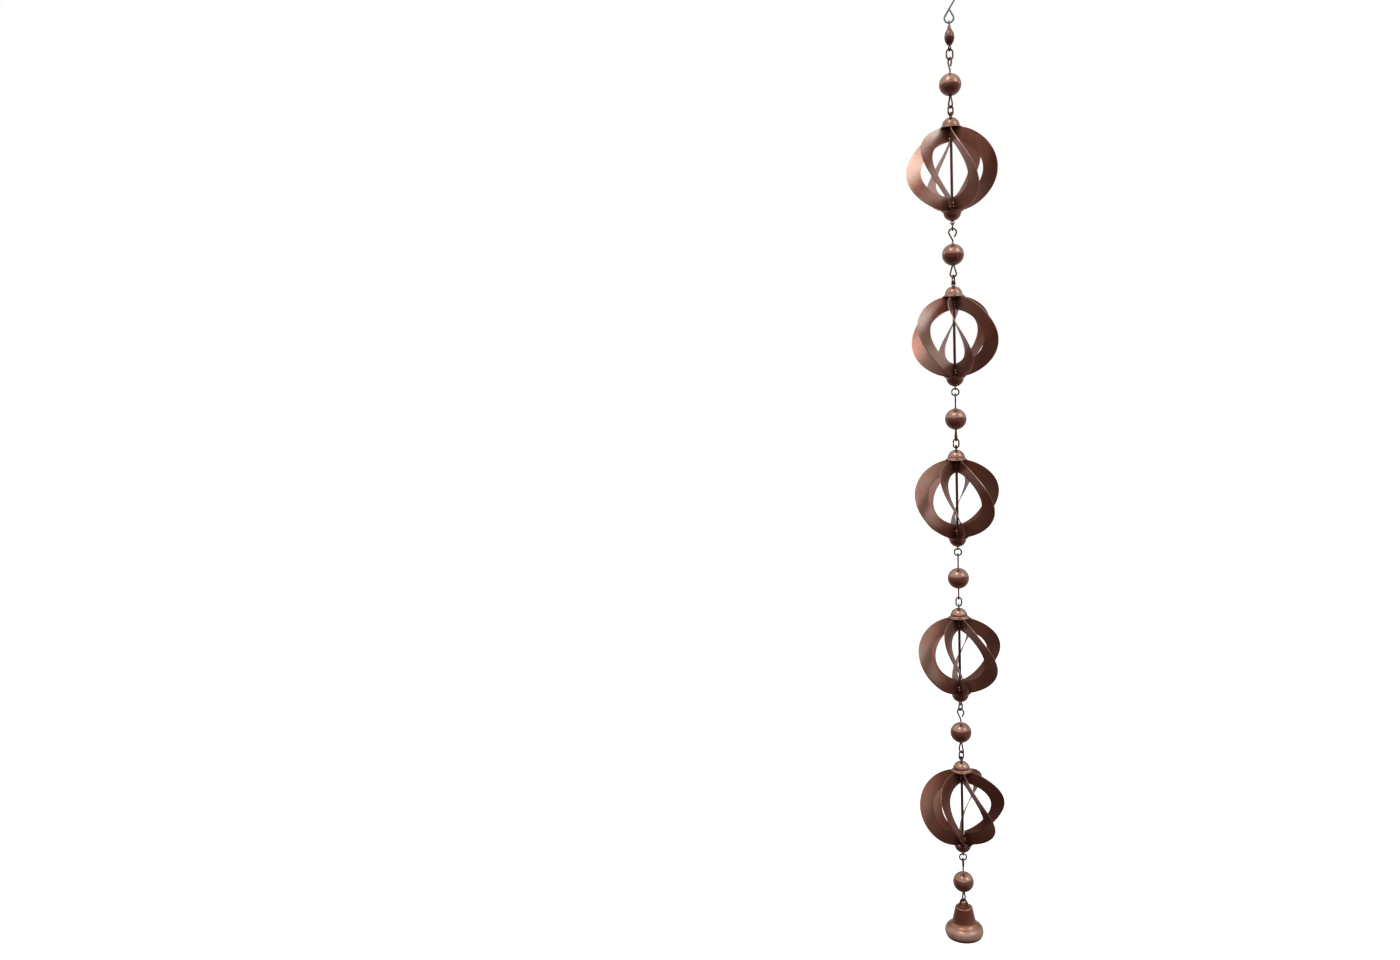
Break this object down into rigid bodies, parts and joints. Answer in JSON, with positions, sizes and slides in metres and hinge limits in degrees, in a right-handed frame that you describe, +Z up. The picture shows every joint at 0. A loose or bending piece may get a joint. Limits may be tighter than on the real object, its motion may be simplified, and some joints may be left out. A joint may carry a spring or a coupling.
{
  "type": "rain chain",
  "caption": "Hanging rain chain of hollow balls and twisted-blade wind spinners linked by wire rings, with a swivel and S-hook at the top and a bell at the bottom",
  "frame": {"origin": "where the hook's upper bowl bears on its support: the underside of its wire at the top", "axes": "+Z up along the hanging chain, +X to the right in the hook's plane, -Y toward the viewer"},
  "size_m": [0.0988, 0.0986, 1.102],
  "materials": {
    "antique_copper": "iron with a satin antique-copper metallic paint, darker in the recesses",
    "hook_steel": "bare drawn steel wire, dull grey"
  },
  "bodies": {
    "hook": {"s_hook": "hook_steel"},
    "swivel_top": {"swivel_upper_eye": "antique_copper"},
    "barrel": {"swivel_barrel": "antique_copper"},
    "swivel_foot": {"swivel_lower_eye": "antique_copper"},
    "first_ring": {"ring_first": "antique_copper"},
    "ball_1": {"ball_1": "antique_copper", "ball_1_wire": "antique_copper"},
    "upper_ring_1": {"ring_upper_1": "antique_copper"},
    "axle_1": {"spinner_1_axle": "antique_copper"},
    "cage_1": {"spinner_1_blades": "antique_copper", "spinner_1_top_cap": "antique_copper", "spinner_1_bottom_cap": "antique_copper", "spinner_1_top_sleeve": "antique_copper", "spinner_1_bottom_sleeve": "antique_copper"},
    "lower_ring_1": {"ring_lower_1": "antique_copper"},
    "ball_2": {"ball_2": "antique_copper", "ball_2_wire": "antique_copper"},
    "upper_ring_2": {"ring_upper_2": "antique_copper"},
    "axle_2": {"spinner_2_axle": "antique_copper"},
    "cage_2": {"spinner_2_blades": "antique_copper", "spinner_2_top_cap": "antique_copper", "spinner_2_bottom_cap": "antique_copper", "spinner_2_top_sleeve": "antique_copper", "spinner_2_bottom_sleeve": "antique_copper"},
    "lower_ring_2": {"ring_lower_2": "antique_copper"},
    "ball_3": {"ball_3": "antique_copper", "ball_3_wire": "antique_copper"},
    "upper_ring_3": {"ring_upper_3": "antique_copper"},
    "axle_3": {"spinner_3_axle": "antique_copper"},
    "cage_3": {"spinner_3_blades": "antique_copper", "spinner_3_top_cap": "antique_copper", "spinner_3_bottom_cap": "antique_copper", "spinner_3_top_sleeve": "antique_copper", "spinner_3_bottom_sleeve": "antique_copper"},
    "lower_ring_3": {"ring_lower_3": "antique_copper"},
    "ball_4": {"ball_4": "antique_copper", "ball_4_wire": "antique_copper"},
    "upper_ring_4": {"ring_upper_4": "antique_copper"},
    "axle_4": {"spinner_4_axle": "antique_copper"},
    "cage_4": {"spinner_4_blades": "antique_copper", "spinner_4_top_cap": "antique_copper", "spinner_4_bottom_cap": "antique_copper", "spinner_4_top_sleeve": "antique_copper", "spinner_4_bottom_sleeve": "antique_copper"},
    "lower_ring_4": {"ring_lower_4": "antique_copper"},
    "ball_5": {"ball_5": "antique_copper", "ball_5_wire": "antique_copper"},
    "upper_ring_5": {"ring_upper_5": "antique_copper"},
    "axle_5": {"spinner_5_axle": "antique_copper"},
    "cage_5": {"spinner_5_blades": "antique_copper", "spinner_5_top_cap": "antique_copper", "spinner_5_bottom_cap": "antique_copper", "spinner_5_top_sleeve": "antique_copper", "spinner_5_bottom_sleeve": "antique_copper"},
    "lower_ring_5": {"ring_lower_5": "antique_copper"},
    "ball_6": {"ball_6": "antique_copper", "ball_6_wire": "antique_copper"},
    "bell": {"bell": "antique_copper"},
    "clapper": {"clapper_wire": "antique_copper", "clapper_bob": "antique_copper"}
  },
  "joints": [
    {"name": "hook_swing", "type": "hinge", "parent": "hook", "child": "swivel_top", "pos_m": [0, 0, -0.05068], "axis": [-1, 0, 0], "range_deg": [-80, 80]},
    {"name": "barrel_spin", "type": "hinge", "parent": "swivel_top", "child": "barrel", "pos_m": [0, 0, -0.06587], "axis": [0, 0, 1], "continuous": true},
    {"name": "swivel_spin", "type": "hinge", "parent": "barrel", "child": "swivel_foot", "pos_m": [0, 0, -0.06587], "axis": [0, 0, 1], "continuous": true},
    {"name": "first_ring_swing", "type": "hinge", "parent": "swivel_foot", "child": "first_ring", "pos_m": [0, 0, -0.08016], "axis": [0.4226, -0.9063, 0], "range_deg": [-80, 80]},
    {"name": "ball_1_swing", "type": "hinge", "parent": "first_ring", "child": "ball_1", "pos_m": [0, 0, -0.0893], "axis": [-0.9063, -0.4226, 0], "range_deg": [-80, 80]},
    {"name": "upper_ring_1_swing", "type": "hinge", "parent": "ball_1", "child": "upper_ring_1", "pos_m": [0, 0, -0.14056], "axis": [0.5736, -0.8192, 0], "range_deg": [-80, 80]},
    {"name": "axle_1_swing", "type": "hinge", "parent": "upper_ring_1", "child": "axle_1", "pos_m": [0, 0, -0.14861], "axis": [0.8192, 0.5736, 0], "range_deg": [-80, 80]},
    {"name": "cage_1_spin", "type": "hinge", "parent": "axle_1", "child": "cage_1", "pos_m": [0, 0, -0.2067], "axis": [0, 0, 1], "continuous": true},
    {"name": "lower_ring_1_swing", "type": "hinge", "parent": "axle_1", "child": "lower_ring_1", "pos_m": [0, 0, -0.26654], "axis": [-1, 0, 0], "range_deg": [-45, 45]},
    {"name": "ball_2_swing", "type": "hinge", "parent": "lower_ring_1", "child": "ball_2", "pos_m": [0, 0, -0.27277], "axis": [0, 1, 0], "range_deg": [-80, 80]},
    {"name": "upper_ring_2_swing", "type": "hinge", "parent": "ball_2", "child": "upper_ring_2", "pos_m": [0, 0, -0.32402], "axis": [0.9397, -0.342, 0], "range_deg": [-80, 80]},
    {"name": "axle_2_swing", "type": "hinge", "parent": "upper_ring_2", "child": "axle_2", "pos_m": [0, 0, -0.33207], "axis": [0.342, 0.9397, 0], "range_deg": [-80, 80]},
    {"name": "cage_2_spin", "type": "hinge", "parent": "axle_2", "child": "cage_2", "pos_m": [0, 0, -0.39016], "axis": [0, 0, 1], "continuous": true},
    {"name": "lower_ring_2_swing", "type": "hinge", "parent": "axle_2", "child": "lower_ring_2", "pos_m": [0, 0, -0.45], "axis": [0, 1, 0], "range_deg": [-45, 45]},
    {"name": "ball_3_swing", "type": "hinge", "parent": "lower_ring_2", "child": "ball_3", "pos_m": [0, 0, -0.45623], "axis": [-1, 0, 0], "range_deg": [-80, 80]},
    {"name": "upper_ring_3_swing", "type": "hinge", "parent": "ball_3", "child": "upper_ring_3", "pos_m": [0, 0, -0.50749], "axis": [0.2588, -0.9659, 0], "range_deg": [-80, 80]},
    {"name": "axle_3_swing", "type": "hinge", "parent": "upper_ring_3", "child": "axle_3", "pos_m": [0, 0, -0.51554], "axis": [0.9659, 0.2588, 0], "range_deg": [-80, 80]},
    {"name": "cage_3_spin", "type": "hinge", "parent": "axle_3", "child": "cage_3", "pos_m": [0, 0, -0.57363], "axis": [0, 0, 1], "continuous": true},
    {"name": "lower_ring_3_swing", "type": "hinge", "parent": "axle_3", "child": "lower_ring_3", "pos_m": [0, 0, -0.63346], "axis": [0, -1, 0], "range_deg": [-45, 45]},
    {"name": "ball_4_swing", "type": "hinge", "parent": "lower_ring_3", "child": "ball_4", "pos_m": [0, 0, -0.63969], "axis": [1, 0, 0], "range_deg": [-80, 80]},
    {"name": "upper_ring_4_swing", "type": "hinge", "parent": "ball_4", "child": "upper_ring_4", "pos_m": [0, 0, -0.69095], "axis": [0, 1, 0], "range_deg": [-80, 80]},
    {"name": "axle_4_swing", "type": "hinge", "parent": "upper_ring_4", "child": "axle_4", "pos_m": [0, 0, -0.699], "axis": [-1, 0, 0], "range_deg": [-80, 80]},
    {"name": "cage_4_spin", "type": "hinge", "parent": "axle_4", "child": "cage_4", "pos_m": [0, 0, -0.75709], "axis": [0, 0, 1], "continuous": true},
    {"name": "lower_ring_4_swing", "type": "hinge", "parent": "axle_4", "child": "lower_ring_4", "pos_m": [0, 0, -0.81693], "axis": [-0.866, 0.5, 0], "range_deg": [-45, 45]},
    {"name": "ball_5_swing", "type": "hinge", "parent": "lower_ring_4", "child": "ball_5", "pos_m": [0, 0, -0.82316], "axis": [0.5, 0.866, 0], "range_deg": [-80, 80]},
    {"name": "upper_ring_5_swing", "type": "hinge", "parent": "ball_5", "child": "upper_ring_5", "pos_m": [0, 0, -0.87441], "axis": [-0.6428, 0.766, 0], "range_deg": [-80, 80]},
    {"name": "axle_5_swing", "type": "hinge", "parent": "upper_ring_5", "child": "axle_5", "pos_m": [0, 0, -0.88246], "axis": [-0.766, -0.6428, 0], "range_deg": [-80, 80]},
    {"name": "cage_5_spin", "type": "hinge", "parent": "axle_5", "child": "cage_5", "pos_m": [0, 0, -0.94055], "axis": [0, 0, 1], "continuous": true},
    {"name": "lower_ring_5_swing", "type": "hinge", "parent": "axle_5", "child": "lower_ring_5", "pos_m": [0, 0, -1.00039], "axis": [0.1392, -0.9903, 0], "range_deg": [-45, 45]},
    {"name": "ball_6_swing", "type": "hinge", "parent": "lower_ring_5", "child": "ball_6", "pos_m": [0, 0, -1.00662], "axis": [0.9903, 0.1392, 0], "range_deg": [-80, 80]},
    {"name": "bell_swing", "type": "hinge", "parent": "ball_6", "child": "bell", "pos_m": [0, 0, -1.05787], "axis": [-0.4695, -0.8829, 0], "range_deg": [-70, 70]},
    {"name": "clapper_swing", "type": "hinge", "parent": "bell", "child": "clapper", "pos_m": [0, 0, -1.07016], "axis": [0.8829, -0.4695, 0], "range_deg": [-33, 33]}
  ]
}
